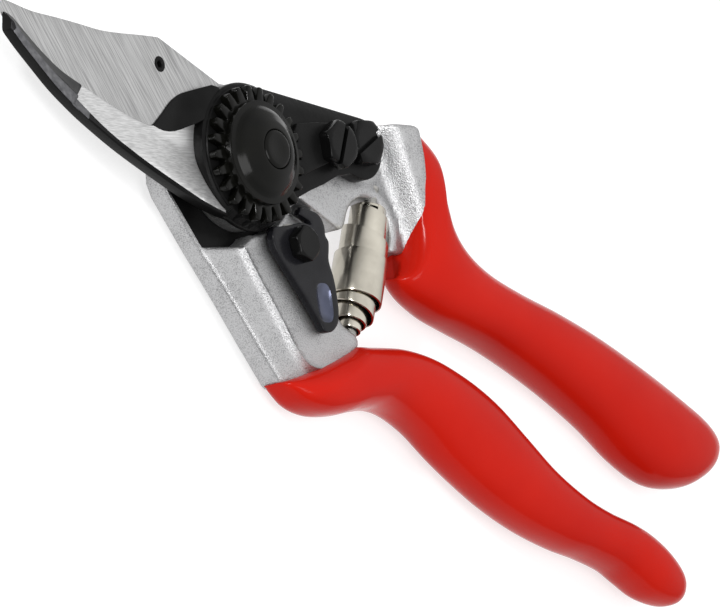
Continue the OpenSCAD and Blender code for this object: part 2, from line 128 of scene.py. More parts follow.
tent = bpy.data.worlds.new("white_tent")
tent.use_nodes = True
tent_light = tent.node_tree.nodes["Background"]
tent_light.inputs["Color"].default_value = (1, 1, 1, 1)
facing = node(tent.node_tree, "ShaderNodeTexCoord")
toward_lit = node(tent.node_tree, "ShaderNodeVectorMath", operation="DOT_PRODUCT")
toward_lit.inputs[1].default_value = Vector((0.22, 0.14, 0.96)).normalized()
tent.node_tree.links.new(facing.outputs["Generated"], toward_lit.inputs[0])
glow = node(tent.node_tree, "ShaderNodeMapRange", interpolation_type="SMOOTHSTEP")
glow.inputs["From Min"].default_value = -0.1
glow.inputs["From Max"].default_value = 0.98
glow.inputs["To Min"].default_value = 0.2
glow.inputs["To Max"].default_value = 1.25
tent.node_tree.links.new(toward_lit.outputs["Value"], glow.inputs["Value"])
tent.node_tree.links.new(glow.outputs["Result"], tent_light.inputs["Strength"])
bpy.context.scene.world = tent

bench_paint, bench_tree, bench_shader = finish("bench_paint", (0.35, 0.35, 0.35), 0.0, 0.8)
bench_shader.inputs["Emission Color"].default_value = (1, 1, 1, 1)
bench_shader.inputs["Emission Strength"].default_value = 0.7
bench_grain = node(bench_tree, "ShaderNodeTexNoise")
bench_grain.inputs["Scale"].default_value = 900.0
bench_bump = node(bench_tree, "ShaderNodeBump")
bench_bump.inputs["Strength"].default_value = 0.03
bench_bump.inputs["Distance"].default_value = 0.0002
bench_tree.links.new(bench_grain.outputs["Fac"], bench_bump.inputs["Height"])
bench_tree.links.new(bench_bump.outputs["Normal"], bench_shader.inputs["Normal"])

bench_size = 6.0
bench_drop = 0.02 * MM
bench_mesh = bpy.data.meshes.new("bench")
bench_mesh.from_pydata(
    [(x * bench_size, y * bench_size, cad_box[0][2] - bench_drop)
     for x, y in ((-1, -1), (1, -1), (1, 1), (-1, 1))], [], [(0, 1, 2, 3)])
bench_mesh.materials.append(bench_paint)
bench = bpy.data.objects.new("bench", bench_mesh)
bpy.context.scene.collection.objects.link(bench)

# ---------------------------------------------------------------- lower handle's core
# The palm handle's core is one aluminium forging, bead blasted: a round flat head behind
# the blade, walls beside it, and a raised pad with a soft ridge that carries the catch.
z_boss = 1.6
z_back = 2.6
z_blade = 5.0
z_rim = 7.5
z_pad = 8.8


def arc(r, start, end, centre=(0, 0), steps=16):
    """Points of an arc, in degrees from +X."""
    turns = [math.radians(start + (end - start) * i / steps) for i in range(steps + 1)]
    return [(centre[0] + r * math.cos(a), centre[1] + r * math.sin(a)) for a in turns]


def smooth(points, steps=4):
    """A smooth curve through points of any length, as a list of tuples."""
    out = []
    last = len(points) - 1
    for i in range(last):
        a, b, c, d = (np.array(points[j]) for j in (max(i - 1, 0), i, i + 1, min(i + 2, last)))
        for k in range(steps):
            t = k / steps
            out.append(tuple(0.5 * (2 * b + (c - a) * t + (2 * a - 5 * b + 4 * c - d) * t**2
                                    + (3 * b - a - 3 * c + d) * t**3)))
    return out + [tuple(points[-1])]


def even(line, step, closed):
    """The same line, with no stretch longer than step."""
    out = []
    for a, b in zip(line, line[1:] + line[:1] if closed else line[1:]):
        n = max(1, math.ceil(math.dist(a, b) / step))
        out += [(a[0] + (b[0] - a[0]) * i / n, a[1] + (b[1] - a[1]) * i / n) for i in range(n)]
    return out if closed else out + [line[-1]]


def away(points, line, closed=False):
    """Each point's distance from a line."""
    ends = np.array(line, float)
    a = ends if closed else ends[:-1]
    b = np.roll(ends, -1, 0) if closed else ends[1:]
    run = b - a
    p = np.asarray(points, float)[:, None, :]
    t = np.clip(((p - a) * run).sum(2) / np.maximum((run**2).sum(1), 1e-12), 0, 1)
    return np.linalg.norm(p - a - t[..., None] * run, axis=2).min(1)


def within(points, loop):
    """Whether each point lies inside a loop."""
    x, y = np.asarray(points, float).T[:, :, None]
    a = np.array(loop, float)
    b = np.roll(a, -1, 0)
    rise = b[:, 1] - a[:, 1]
    rise[rise == 0] = 1e-12
    meets = (a[:, 1] > y) != (b[:, 1] > y)
    return (meets & (x < a[:, 0] + (y - a[:, 1]) * (b[:, 0] - a[:, 0]) / rise)).sum(1) % 2 == 1


def step_up(value, start, end):
    """0 below start, 1 above end and a soft S between."""
    t = np.clip((value - start) / (end - start), 0, 1)
    return t * t * (3 - 2 * t)


fillet_shares = (0.1, 0.36, 1.0)


def forging(outline, top, base, holes=(), creases=(), fillet=0.3, grain=1.0, fillet_base=None):
    """A lying plate of any outline with two rounded rims.  Each of its faces, top and base, is a
    height or gives the height at (x, y)."""
    fillet_base = fillet if fillet_base is None else fillet_base
    loops = [even(list(loop), grain, True) for loop in (outline, *holes)]
    lines = [even(list(line), grain, False) for line in creases]
    points, edges = [], []
    for line, closed in [(loop, True) for loop in loops] + [(line, False) for line in lines]:
        first = len(points)
        points += line
        edges += [(first + i, first + i + 1) for i in range(len(line) - 1)]
        if closed:
            edges.append((first + len(line) - 1, first))

    def solid(p):
        kept = within(p, loops[0])
        for hole in loops[1:]:
            kept &= ~within(p, hole)
        return kept

    def rim_distance(p):
        return np.min([away(p, loop, True) for loop in loops], axis=0)

    for loop in loops:
        p = np.array(loop)
        along = np.roll(p, -1, 0) - np.roll(p, 1, 0)
        across = np.stack([-along[:, 1], along[:, 0]], 1) / np.linalg.norm(along, axis=1)[:, None]
        for share in fillet_shares:
            for side in (1, -1):
                inset = p + side * share * max(fillet, fillet_base) * across
                inset = inset[solid(inset)]
                inset = inset[rim_distance(inset) > 0.93 * share * max(fillet, fillet_base)]
                points += [tuple(q) for q in inset]
    low, high = np.min(loops[0], axis=0), np.max(loops[0], axis=0)
    rows = np.arange(low[1], high[1], grain * math.sqrt(3) / 2)
    grid = np.array([(x + (i % 2) * grain / 2, y) for i, y in enumerate(rows)
                     for x in np.arange(low[0], high[0], grain)])
    grid = grid[solid(grid)]
    grid = grid[rim_distance(grid) > max(fillet, fillet_base) + 0.45 * grain]
    for line in lines:
        grid = grid[away(grid, line) > 0.4 * grain]
    points += [tuple(q) for q in grid]

    placed, _, cells, _, _, _ = delaunay_2d_cdt(
        [Vector(p) for p in points], edges, [], 0, 1e-4, True)
    flat = np.array([(p.x, p.y) for p in placed])
    cells = np.array([c for c in cells if len(c) == 3])
    cells = cells[solid(flat[cells].mean(1))]
    used, cells = np.unique(cells, return_inverse=True)
    cells = cells.reshape(-1, 3)
    flat = flat[used]
    a, b, c = (flat[cells[:, k]] for k in range(3))
    turned_over = (b[:, 0] - a[:, 0]) * (c[:, 1] - a[:, 1]) < (b[:, 1] - a[:, 1]) * (c[:, 0] - a[:, 0])
    cells[turned_over] = cells[turned_over][:, ::-1]

    d = rim_distance(flat)

    def rounding(r):
        inside_rim = np.clip(r - d, 0, r)
        return r - np.sqrt(r * r - inside_rim**2)

    x, y = flat.T
    upper = (top(x, y) if callable(top) else top) - rounding(fillet)
    lower = (base(x, y) if callable(base) else base) + rounding(fillet_base)
    lower = np.minimum(lower, upper - 0.02)
    verts = [(*p, z) for p, z in zip(flat.tolist(), upper)]
    verts += [(*p, z) for p, z in zip(flat.tolist(), lower)]
    n = len(flat)
    count = {}
    for cell in cells.tolist():
        for i in range(3):
            side = (cell[i], cell[(i + 1) % 3])
            count[side] = count.get(side, 0) + 1
    faces = cells.tolist() + [[i + n for i in cell[::-1]] for cell in cells.tolist()]
    faces += [[a + n, b + n, b, a] for a, b in count if (b, a) not in count]
    return verts, faces


def turned(profile, at=(0, 0), steps=72, closed=False):
    """A shell turned on a lathe, standing at a place: profile is (radius, height) pairs."""
    verts = [(at[0] + r * math.cos(a), at[1] + r * math.sin(a), z)
             for r, z in profile for a in (2 * math.pi * k / steps for k in range(steps))]
    rings = len(profile)
    faces = []
    for i in range(rings if closed else rings - 1):
        for k in range(steps):
            j = (k + 1) % steps
            a, b = i * steps, (i + 1) % rings * steps
            faces.append([a + k, a + j, b + j, b + k])
    if not closed:
        faces.append([k for k in range(steps)][::-1])
        faces.append([(rings - 1) * steps + k for k in range(steps)])
    return verts, faces


def part(name, shells, finishes, body, replaced=(), paint=None, crease=38):
    """One mesh from its shells, in millimetres, that rides on a body of the shears."""
    verts, faces = [], []
    for points, cells in shells:
        faces += [[i + len(verts) for i in cell] for cell in cells]
        verts += points
    mesh = bpy.data.meshes.new(name)
    mesh.from_pydata([(x * MM, y * MM, z * MM) for x, y, z in verts], [], faces)
    work = bmesh.new()
    work.from_mesh(mesh)
    bmesh.ops.remove_doubles(work, verts=work.verts, dist=1e-7)
    bmesh.ops.dissolve_degenerate(work, edges=work.edges, dist=1e-8)
    bmesh.ops.recalc_face_normals(work, faces=work.faces)
    work.to_mesh(mesh)
    work.free()
    for made in finishes:
        mesh.materials.append(made)
    if paint:
        for face in mesh.polygons:
            face.material_index = paint(*(face.center / MM), face.normal)
    mesh.polygons.foreach_set("use_smooth", [True] * len(mesh.polygons))
    mesh.set_sharp_from_angle(angle=math.radians(crease))
    made = bpy.data.objects.new(name, mesh)
    bpy.context.scene.collection.objects.link(made)
    if body:
        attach(made, body)
    if replaced:
        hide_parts(*replaced)
    return made


def group(name, inputs, outputs):
    """An empty shader node group with its named inputs and outputs."""
    made = bpy.data.node_groups.new(name, "ShaderNodeTree")
    for label, value in inputs.items():
        socket = made.interface.new_socket(label, in_out="INPUT", socket_type="NodeSocketFloat")
        socket.default_value = value
    for label in outputs:
        made.interface.new_socket(label, in_out="OUTPUT", socket_type="NodeSocketFloat")
    return made, node(made, "NodeGroupInput"), node(made, "NodeGroupOutput")


def blasted_speckle():
    """Bead-blasted skin: Pits is a mask of fine dark pits, Cloud a broad slow mottling."""
    made, given, result = group("blasted_speckle", {"Grain": 2600.0, "Mottle": 120.0},
                                ("Pits", "Cloud", "Height"))
    place = node(made, "ShaderNodeTexCoord")
    fine = node(made, "ShaderNodeTexNoise")
    broad = node(made, "ShaderNodeTexNoise")
    fine.inputs["Detail"].default_value = 3.0
    broad.inputs["Detail"].default_value = 4.0
    for texture, scale in ((fine, "Grain"), (broad, "Mottle")):
        made.links.new(place.outputs["Object"], texture.inputs["Vector"])
        made.links.new(given.outputs[scale], texture.inputs["Scale"])
    pits = node(made, "ShaderNodeMapRange", interpolation_type="SMOOTHSTEP")
    pits.inputs["From Min"].default_value = 0.36
    pits.inputs["From Max"].default_value = 0.56
    made.links.new(fine.outputs["Fac"], pits.inputs["Value"])
    made.links.new(pits.outputs["Result"], result.inputs["Pits"])
    made.links.new(broad.outputs["Fac"], result.inputs["Cloud"])
    made.links.new(fine.outputs["Fac"], result.inputs["Height"])
    return made


speckle_group = blasted_speckle()


def use(tree, made, **values):
    """A node group placed in a material, with its own values."""
    placed = node(tree, "ShaderNodeGroup", node_tree=made)
    for label, value in values.items():
        placed.inputs[label].default_value = value
    return placed


def shade_between(tree, mask, dark, light, socket):
    """Mixes two colours by a mask into a colour socket."""
    mixed = node(tree, "ShaderNodeMix", data_type="RGBA")
    mixed.inputs["A"].default_value = (*dark, 1)
    mixed.inputs["B"].default_value = (*light, 1)
    tree.links.new(mask, mixed.inputs["Factor"])
    tree.links.new(mixed.outputs["Result"], socket)


def spread(tree, mask, low, high, socket):
    """Feeds a mask to a value socket, spread from low to high."""
    ranged = node(tree, "ShaderNodeMapRange")
    ranged.inputs["To Min"].default_value = low
    ranged.inputs["To Max"].default_value = high
    tree.links.new(mask, ranged.inputs["Value"])
    tree.links.new(ranged.outputs["Result"], socket)


def relief(tree, height, depth, shader, strength=1.0):
    """Feeds a height to a bump, its depth in metres."""
    bump = node(tree, "ShaderNodeBump")
    bump.inputs["Distance"].default_value = depth
    bump.inputs["Strength"].default_value = strength
    tree.links.new(height, bump.inputs["Height"])
    tree.links.new(bump.outputs["Normal"], shader.inputs["Normal"])


def speckled(name, dark, light, metal, rough, grain, mottle, depth, strength, level=0.5):
    """A skin mottled between two colours, with fine relief; rough is plain or from smooth to rough."""
    made, tree, shader = finish(name, light, metal, np.mean(rough), Specular_IOR_Level=level)
    skin = use(tree, speckle_group, Grain=grain, Mottle=mottle)
    shade_between(tree, skin.outputs["Cloud"], dark, light, shader.inputs["Base Color"])
    if np.ndim(rough):
        spread(tree, skin.outputs["Cloud"], *rough, shader.inputs["Roughness"])
    if depth:
        relief(tree, skin.outputs["Height"], depth, shader, strength)
    return made


forged_aluminium, tree, shader = finish("forged_aluminium", (0.6, 0.6, 0.61), 0.92, 0.46)
skin = use(tree, speckle_group, Grain=4300.0, Mottle=190.0)
blotch = node(tree, "ShaderNodeMath", operation="MULTIPLY_ADD")
blotch.inputs[1].default_value = 0.62
tree.links.new(skin.outputs["Pits"], blotch.inputs[0])
tree.links.new(skin.outputs["Cloud"], blotch.inputs[2])
shade_between(tree, blotch.outputs["Value"], (0.13, 0.13, 0.132), (0.44, 0.44, 0.445),
              shader.inputs["Base Color"])
spread(tree, skin.outputs["Cloud"], 0.3, 0.46, shader.inputs["Roughness"])
relief(tree, skin.outputs["Height"], 0.00012, shader, 0.8)

# This black is the black oxide of the steel parts, and also painted shade on the lower forging's sunken
# floor.
black_oxide_and_painted_shade = speckled("black_oxide_and_painted_shade", (0.001, 0.001, 0.001), (0.008, 0.008, 0.008), metal=0.0,
                       rough=(0.24, 0.44), grain=1500.0, mottle=220.0, depth=0.00006, strength=0.4,
                       level=0.07)

# Outlines on the lower forging, in millimetres.
flank = [(-17.3, -11.0), (-16.4, -13.4), (-14.3, -15.3), (-3.8, -20.6), (5.4, -24.9), (13.5, -29.0),
         (21.9, -33.1)]
neck_line = [(22.35, -33.4), (27.0, -30.9), (32.4, -26.4), (36.6, -20.9), (37.75, -17.0)]
inner_side = [(37.2, -15.4), (33.0, -15.4), (30.0, -14.2), (28.4, -11.0), (26.0, -6.4), (23.5, -3.4),
              (17.0, -2.8)]
recess_side = [(5.7, -13.3), (4.2, -15.6), (-3.4, -19.7), (-13.6, -14.5), (-16.2, -11.6)]
ridge = smooth([(4.4, -15.9), (9.2, -18.9), (14.2, -21.6), (19.2, -24.6), (22.8, -26.7), (26.2, -27.5),
                (29.5, -26.4), (33.2, -23.6)], 5)
head_r = 14.0
recess_r = 13.7
pad_far_side = [(39.0, -21.0), (39.0, -14.0), (20.0, 0.0), (6.0, -8.0)]
bead_h = 0.42
bead_half = 0.6
ridge_drop = 0.45
ridge_foot = 1.2
pad_slope = 0.16
wall_rim = 0.6


def beside(line, offset):
    """The same line, moved sideways."""
    p = np.array(line)
    run = np.gradient(p, axis=0)
    across = np.stack([-run[:, 1], run[:, 0]], 1) / np.linalg.norm(run, axis=1)[:, None]
    return [tuple(q) for q in p + offset * across]


def lower_top(x, y):
    """The pad is level inside the ridge, and falls away outside it to the rim."""
    p = np.stack([x, y], 1)
    outside = ~within(p, ridge + pad_far_side)
    from_ridge = away(p, ridge)
    fall = (ridge_drop * step_up(from_ridge, 0.0, ridge_foot) + pad_slope * from_ridge) * outside
    bead = bead_h * np.clip(1 - from_ridge / bead_half, 0, 1)
    return np.maximum(z_pad - fall + bead, z_rim - wall_rim)


def lower_paint(x, y, z, normal):
    """Painted shade: black on the sunken floor below the eye, where shade falls; bare elsewhere."""
    return 1 if normal.z > 0.7 and z < z_blade + 0.1 and y < -5 else 0


wall_outline = flank + neck_line + inner_side + arc(recess_r, -13, -64, steps=14) + recess_side
web_outline = (arc(head_r, -16, 205, steps=64)
               + [(-17.0, -11.3), (-16.2, -13.2), (-14.1, -14.9), (-3.7, -20.1), (4.6, -16.3),
                  (6.6, -13.4), (12.0, -7.6)])
ridge_lines = [ridge] + [beside(ridge, offset) for offset in (bead_half, -bead_half, -ridge_foot - 0.1)]
walls = forging(wall_outline, lower_top, z_back, creases=ridge_lines, fillet=0.75, grain=0.9)
web = forging(web_outline, z_blade, z_back + 0.02, holes=[arc(5.0, 0, 350, steps=36)],
              fillet=0.25, fillet_base=0.6, grain=1.6)
boss = turned([(5.0, z_back + 0.4), (12.2, z_back + 0.4), (12.2, z_boss + 0.4), (12.1, z_boss + 0.15),
               (11.8, z_boss), (5.0, z_boss)], closed=True)
# The black finish here is painted shade on the sunken floor below the eye.
part("lower_forging", [walls, web, boss], [forged_aluminium, black_oxide_and_painted_shade], "lower",
     ["lower_handle_core"], paint=lower_paint)

# ---------------------------------------------------------------- cutting blade
# The blade is hardened steel, ground flat across both faces with oblique wheel marks and
# honed from behind along its curved edge.  A blackened eyelet fills its small hole.
z_front = 8.0


def brushed_lines():
    """Long fine lines left by a grinding wheel: Lines is their mask, Scores the few deep ones.
    Turn is their direction over the face, in radians from +X."""
    made, given, result = group("brushed_lines", {"Turn": 0.0, "Fineness": 2400.0, "Length": 60.0},
                                ("Lines", "Scores"))
    place = node(made, "ShaderNodeTexCoord")
    turn = node(made, "ShaderNodeVectorRotate", rotation_type="Z_AXIS")
    made.links.new(place.outputs["Object"], turn.inputs["Vector"])
    made.links.new(given.outputs["Turn"], turn.inputs["Angle"])
    stretch = node(made, "ShaderNodeCombineXYZ")
    made.links.new(given.outputs["Length"], stretch.inputs["X"])
    made.links.new(given.outputs["Fineness"], stretch.inputs["Y"])
    made.links.new(given.outputs["Fineness"], stretch.inputs["Z"])
    for label, share, low, high in (("Lines", 1.0, 0.3, 0.7), ("Scores", 0.55, 0.60, 0.74)):
        longer = node(made, "ShaderNodeVectorMath", operation="MULTIPLY")
        made.links.new(turn.outputs["Vector"], longer.inputs[0])
        made.links.new(stretch.outputs["Vector"], longer.inputs[1])
        sized = node(made, "ShaderNodeVectorMath", operation="SCALE")
        sized.inputs["Scale"].default_value = share
        made.links.new(longer.outputs["Vector"], sized.inputs[0])
        grooves = node(made, "ShaderNodeTexNoise")
        grooves.inputs["Scale"].default_value = 1.0
        grooves.inputs["Detail"].default_value = 4.0
        made.links.new(sized.outputs["Vector"], grooves.inputs["Vector"])
        mask = node(made, "ShaderNodeMapRange", interpolation_type="SMOOTHSTEP")
        mask.inputs["From Min"].default_value = low
        mask.inputs["From Max"].default_value = high
        made.links.new(grooves.outputs["Fac"], mask.inputs["Value"])
        made.links.new(mask.outputs["Result"], result.inputs[label])
    return made


lines_group = brushed_lines()
ground_steel, tree, shader = finish("ground_steel", (0.66, 0.66, 0.67), 0.85, 0.34)
marks = use(tree, lines_group, Turn=math.radians(30), Fineness=5600.0, Length=110.0)
marks_mix = node(tree, "ShaderNodeMath", operation="MULTIPLY_ADD")
marks_mix.inputs[1].default_value = 0.75
tree.links.new(marks.outputs["Scores"], marks_mix.inputs[0])
tree.links.new(marks.outputs["Lines"], marks_mix.inputs[2])
shade_between(tree, marks_mix.outputs["Value"], (0.25, 0.25, 0.25), (0.49, 0.49, 0.49),
              shader.inputs["Base Color"])
spread(tree, marks.outputs["Lines"], 0.28, 0.42, shader.inputs["Roughness"])
relief(tree, marks_mix.outputs["Value"], 0.00002, shader, 0.7)

cutting_edge = smooth([(-65.5, -6.0), (-65.2, -7.2), (-63.0, -8.4), (-58.0, -9.8), (-52.0, -10.8),
                       (-45.0, -11.4), (-38.0, -11.5), (-31.0, -11.1), (-25.0, -10.3), (-19.0, -9.0),
                       (-13.0, -8.0)])
spine = ([(-9.0, 10.2)] + [(-25.5, 9.95), (-26.1, 9.85)]
         + smooth([(-26.1, 9.85), (-30.0, 8.0), (-35.0, 5.5), (-40.0, 3.2), (-45.0, 1.5), (-51.0, -0.6),
                   (-57.5, -3.0), (-62.5, -4.2), (-64.7, -4.8)], 3)[1:])
blade_outline = cutting_edge + arc(12.6, -138, 125, steps=40) + spine
sap_hole = (-24.2, 5.4)
bevel_w = 4.2
edge_t = 0.08


def blade_base(x, y):
    """Flat behind, and honed up to nearly the front face along the edge."""
    from_edge = away(np.stack([x, y], 1), cutting_edge[:-4])
    return z_blade + (z_front - z_blade - edge_t) * np.clip(1 - from_edge / bevel_w, 0, 1)


blade = forging(blade_outline, z_front, blade_base,
                holes=[arc(1.2, 0, 330, sap_hole, 11), arc(5.05, 0, 350, steps=35)],
                fillet=0.14, grain=1.3)
part("blade", [blade], [ground_steel], "lower", ["cutting_blade"])

eyelet = turned([(0.62, z_front - 0.9), (0.62, z_front - 0.1), (0.78, z_front + 0.04),
                 (1.3, z_front + 0.04), (1.42, z_front + 0.005), (1.18, z_front + 0.005),
                 (1.18, z_blade + 0.1), (0.01, z_blade + 0.1), (0.01, z_front - 0.9)],
                at=sap_hole, steps=32, closed=True)
part("sap_hole_eyelet", [eyelet], [black_oxide_and_painted_shade], "lower")

# ---------------------------------------------------------------- upper handle's core
# The other handle's core is a second aluminium forging.  Its neck lies under the counter
# blade's tang, then rises by a steep shoulder, with a round pocket for the spring's head.
shoulder_rise = 4.4
shoulder_at = (37.8, 16.8)
shoulder_toward = (0.73, 0.68)
shoulder_foot = -2.0
shoulder_head = 1.6
swell_h = 0.5
swell_w = 1.1
pocket_at = (35.0, 5.0)
pocket_r = 6.0
upper_outline = ([(9.0, 16.2), (16.0, 18.9), (25.0, 21.9), (31.0, 24.2), (35.4, 26.3), (37.0, 26.9)]
                 + smooth([(37.8, 26.4), (41.2, 21.2), (44.0, 15.4), (45.8, 10.5), (44.6, 6.0),
                           (41.0, 4.4)], 4)
                 + arc(pocket_r, -6, 186, pocket_at, 30)
                 + [(29.0, 2.4), (28.0, 1.5), (16.3, 1.5)] + arc(16.3, 7, 60, steps=18))


def upper_top(x, y):
    """Level under the tang, then up the shoulder, with a low swell round the spring's pocket."""
    s = shoulder_toward[0] * (x - shoulder_at[0]) + shoulder_toward[1] * (y - shoulder_at[1])
    shoulder = (shoulder_rise * step_up(s, shoulder_foot, shoulder_head)
                + 0.1 * np.clip(s - shoulder_head, 0, 4))
    from_pocket = np.hypot(x - pocket_at[0], y - pocket_at[1])
    hollow = step_up(from_pocket, pocket_r - 0.5, pocket_r + 7.0)
    swell = swell_h * np.exp(-(((from_pocket - pocket_r - 1.3) / swell_w) ** 2)) * step_up(y, 4.0, 9.0)
    return z_front + shoulder * (0.72 + 0.28 * hollow) + swell * step_up(x, 27.5, 31.0)


upper = forging(upper_outline, upper_top, z_back, fillet=0.7, grain=0.9)
part("upper_forging", [upper], [forged_aluminium], "upper", ["upper_handle_core"])

# ---------------------------------------------------------------- counter blade
# The counter blade is a steel forging in black oxide: a hook, a round eye and a tang that is
# bolted to the upper handle.  Its bearing bevel is ground bright beside the eye.
z_hook = 8.1
z_eye = 10.8
eye_r = 13.1
eye_wall = 0.1
throat = smooth([(-12.6, 7.4), (-16.0, 4.6), (-18.2, 2.6), (-20.0, 0.0), (-21.4, -3.2), (-23.0, -6.5)])
inner_edge = smooth([(-23.0, -6.5), (-25.0, -7.4), (-30.0, -8.4), (-35.0, -9.0), (-41.0, -9.4),
                     (-48.0, -9.8), (-54.0, -9.1), (-59.0, -8.0), (-62.5, -7.2), (-64.6, -7.4)])
outer_edge = smooth([(-63.7, -10.7), (-60.0, -12.0), (-55.0, -13.4), (-50.0, -14.7), (-45.0, -15.5),
                     (-40.0, -16.0), (-32.0, -16.3), (-24.0, -16.1), (-15.0, -15.6), (-10.0, -15.0),
                     (-5.0, -14.2), (-1.0, -13.2)])
tang_back = arc(5.8, 98, 99, (26.0, 16.6), 1)[:1] + arc(eye_r, 108, 144, steps=10)
hook_outline = (outer_edge + arc(eye_r, -92, -6, steps=24)
                + [(16.0, 2.0), (19.0, 5.0), (22.0, 8.5), (25.0, 10.6)]
                + arc(5.8, -72, 98, (26.0, 16.6), 18) + arc(eye_r, 108, 144, steps=10)
                + throat + inner_edge[1:])
ground_end = [(-42.2, -9.3), (-44.2, -13.5)]
ground_foot = smooth([(-44.2, -13.5), (-37.0, -15.0), (-29.7, -15.6), (-20.0, -15.3), (-9.3, -14.5),
                      (-3.0, -13.3)])
throat_foot = [(-23.0 + 9.6 * t, -6.6 + 6.2 * t * t) for t in np.linspace(0.0, 1.0, 8)]
throat_step = [(x, y + 0.1) for x, y in throat_foot[1:]]
tip_ridge = smooth([(-44.4, -13.4), (-51.0, -12.6), (-57.4, -11.2), (-62.0, -9.8), (-63.8, -9.2)])
bevel_head = [(-44.0, -9.0), (-35.0, -8.6), (-25.0, -7.3), (-20.0, -6.9)]
bevel_z = 8.42
bevel_slope = 0.29
tip_z = 8.7
tip_rise = 1.75
tip_end = -62.9
ground_end_at = (-43.1, -11.15)
ground_end_slant = 0.47
# From here towards the tip, the band below the bevel's foot takes the painted light.
painted_light_from = -40.5
throat_end = -23.2
throat_z = 8.35
throat_rise = 2.2
throat_run = 5.2
eye_rings = (0.95, 0.8, 0.45)
eye_drop = 0.2
tang_slope = 0.38
floor_r = 12.2
floor_z = 9.0
nose_turn = (-100, -12)


def over(line, x):
    """How high in Y a line lies at x; the line runs towards +X."""
    return np.interp(x, *zip(*line))


def past_ground(x, y):
    """How far a point lies beyond the ground bevel's end, towards the tip."""
    return -(x - ground_end_at[0]) + ground_end_slant * (y - ground_end_at[1])


def tip_share(x, y):
    """0 on the inner edge and 1 on the ridge of the tip."""
    inner_y = over(inner_edge[::-1], x)
    return (inner_y - y) / (inner_y - over(tip_ridge[::-1], x))


def hook_top(x, y):
    """Flat on the eye and tang; elsewhere the ground bevel, the throat and the tip's facets."""
    p = np.stack([x, y], 1)
    r = np.hypot(x, y)
    turn = np.degrees(np.arctan2(y, x))
    low = over(bevel_head, x) - y
    bevel = bevel_z + bevel_slope * 0.5 * (low + np.sqrt(low**2 + 1.0))
    tip = tip_z + tip_rise * np.clip(tip_share(x, y), 0, 1)
    face = np.where(past_ground(x, y) > 0, tip, bevel)
    face = np.minimum(face, z_eye - 0.5 * np.clip(0.9 - away(p, outer_edge), 0, 1))
    ramp = throat_z + throat_rise * step_up(-r, -eye_r - throat_run, -eye_r)
    in_throat = (x < -8) & (y > -7) & (y > over(throat_foot, x) + 0.05) & (x > throat_end)
    face = np.where(in_throat, ramp, face)
    eye = (z_eye - eye_drop * step_up(r, eye_r - eye_rings[0], eye_r - eye_rings[1])
           - 0.7 * np.clip(r - eye_r + eye_rings[2], 0, eye_rings[2]))
    tang = z_eye - tang_slope * np.clip(2.0 - away(p, tang_back), 0, 2)
    face = np.where(x > -1.0, tang, np.where(r < eye_r + eye_wall / 2, eye, face))
    nosed = (turn > nose_turn[0]) & (turn < nose_turn[1]) & (r > floor_r)
    return np.where(nosed, floor_z, face)


def hook_paint(x, y, z, normal):
    """Black (0), bright on the ground bevel (1), lighter on the tip's flat as painted light (2), darker grey
    beside it as painted shade (3).
    """
    if normal.z < 0.6 or math.hypot(x, y) < eye_r + eye_wall or x > -3:
        return 0
    if past_ground(x, y) > 0:
        return 2 if tip_share(x, y) > 1 and x > tip_end else 3
    below = y < over(ground_foot, x)
    if below and x < painted_light_from:
        return 2
    return 0 if below or (x > throat_end and y > over(throat_foot, x)) else 1


# Lit and shaded copies of one black: the lighter is painted light where the tip's flat and the band below the
# bevel catch the light, and the darker is painted shade on the tip's inner facet.
painted_light_black = speckled("painted_light_black", (0.01, 0.01, 0.012), (0.2, 0.2, 0.21), metal=0.8, rough=0.4,
                      grain=3200.0, mottle=900.0, depth=0.00004, strength=0.4)
painted_shade_grey = speckled("painted_shade_grey", (0.008, 0.008, 0.009), (0.02, 0.02, 0.021), metal=0.8, rough=0.4,
                    grain=3200.0, mottle=700.0, depth=0.0, strength=0.0)
bright_bevel, tree, shader = finish("ground_bevel", (0.74, 0.74, 0.75), 0.8, 0.36)
marks = use(tree, lines_group, Turn=math.radians(-28), Fineness=4200.0, Length=160.0)
shade_between(tree, marks.outputs["Lines"], (0.5, 0.5, 0.5), (0.72, 0.72, 0.72),
              shader.inputs["Base Color"])
relief(tree, marks.outputs["Lines"], 0.00001, shader, 0.5)

eye_line = arc(eye_r, 144, 268, steps=40)
eye_foot_line = arc(eye_r + eye_wall, 144, 266, steps=40)
eye_steps = [arc(eye_r - back, 20, 255, steps=60) for back in eye_rings]
nose_lines = [arc(r, *nose_turn, steps=24) for r in (floor_r, floor_r - 0.08)]
hook = forging(hook_outline, hook_top, z_hook,
               holes=[arc(3.45, 0, 350, steps=35), arc(2.5, 0, 345, (18.5, 12.4), 23),
                      arc(2.5, 0, 345, (25.7, 17.1), 23)],
               creases=[ground_end, ground_foot, throat_foot, throat_step, tip_ridge, eye_line,
                        eye_foot_line, *eye_steps, *nose_lines],
               fillet=0.22, grain=0.8)
part("counter_blade_forging", [hook], [black_oxide_and_painted_shade, bright_bevel, painted_light_black, painted_shade_grey], "upper",
     ["counter_blade"], paint=hook_paint, crease=30)

# ---------------------------------------------------------------- pivot bolt and crown nut
# The pivot bolt comes through from behind, where its low round head has two spanner flats.
# The crown nut on it has a ring of gear teeth, a step and a dome, all in black oxide.
bolt_r = 3.4
bolt_head_t = 1.5
z_flange = 11.7
collar_t = 2.1
dome_t = 2.7
bolt_end = 0.3
z_dome = z_flange + collar_t + dome_t
teeth = 24
crown_r = 12.2
root_r = 9.6


def black_steel(name, light, rough):
    """Glossier black oxide, with a light shade and a roughness of its own."""
    return speckled(name, (0.001, 0.001, 0.001), light, metal=0.0, rough=rough, grain=1700.0,
                    mottle=260.0, depth=0.00003, strength=0.35, level=0.11)


